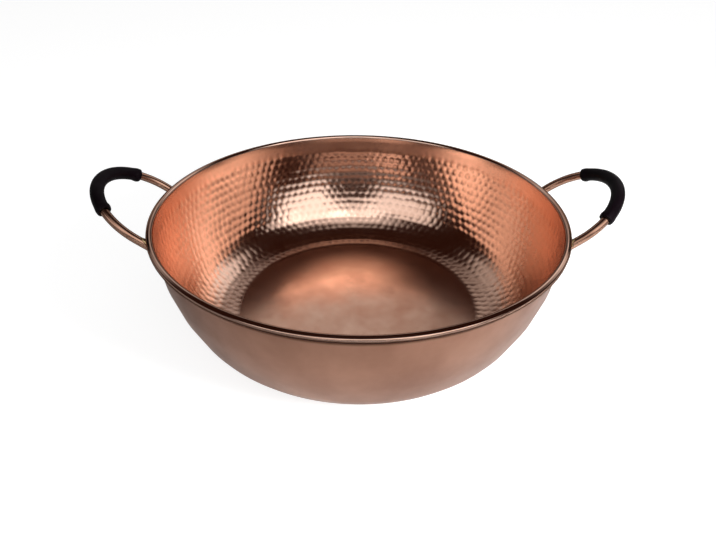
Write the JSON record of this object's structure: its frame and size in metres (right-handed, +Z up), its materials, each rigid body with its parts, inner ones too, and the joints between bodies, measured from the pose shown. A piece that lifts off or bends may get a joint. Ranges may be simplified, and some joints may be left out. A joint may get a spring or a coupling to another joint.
{
  "type": "copper cooking pan",
  "caption": "Wide flat-based hammered copper pan with a rolled rim, fixed loop handles of bent rod and black hose grips.",
  "frame": {"origin": "middle of the flat base, on the surface that the pan stands on", "axes": "+Z up, +X towards the right-hand handle seen from the front, -Y the front"},
  "size_m": [0.5832, 0.466, 0.1786],
  "materials": {
    "copper_sheet": "hand-hammered copper, satin",
    "copper_rod": "drawn copper rod, lightly browned",
    "steel_wire": "plain drawn wire, hidden in the rim",
    "black_hose": "smooth extruded black rubber hose",
    "braze_filler": "pale brazing filler, smoothed by flux"
  },
  "bodies": {
    "root": {"bowl_shell": "copper_sheet", "rim_wire": "steel_wire", "handle_rod_left": "copper_rod", "handle_rod_right": "copper_rod", "grip_sleeve_left": "black_hose", "grip_sleeve_right": "black_hose", "braze_left_front": "braze_filler", "braze_left_rear": "braze_filler", "braze_right_front": "braze_filler", "braze_right_rear": "braze_filler"}
  },
  "joints": []
}
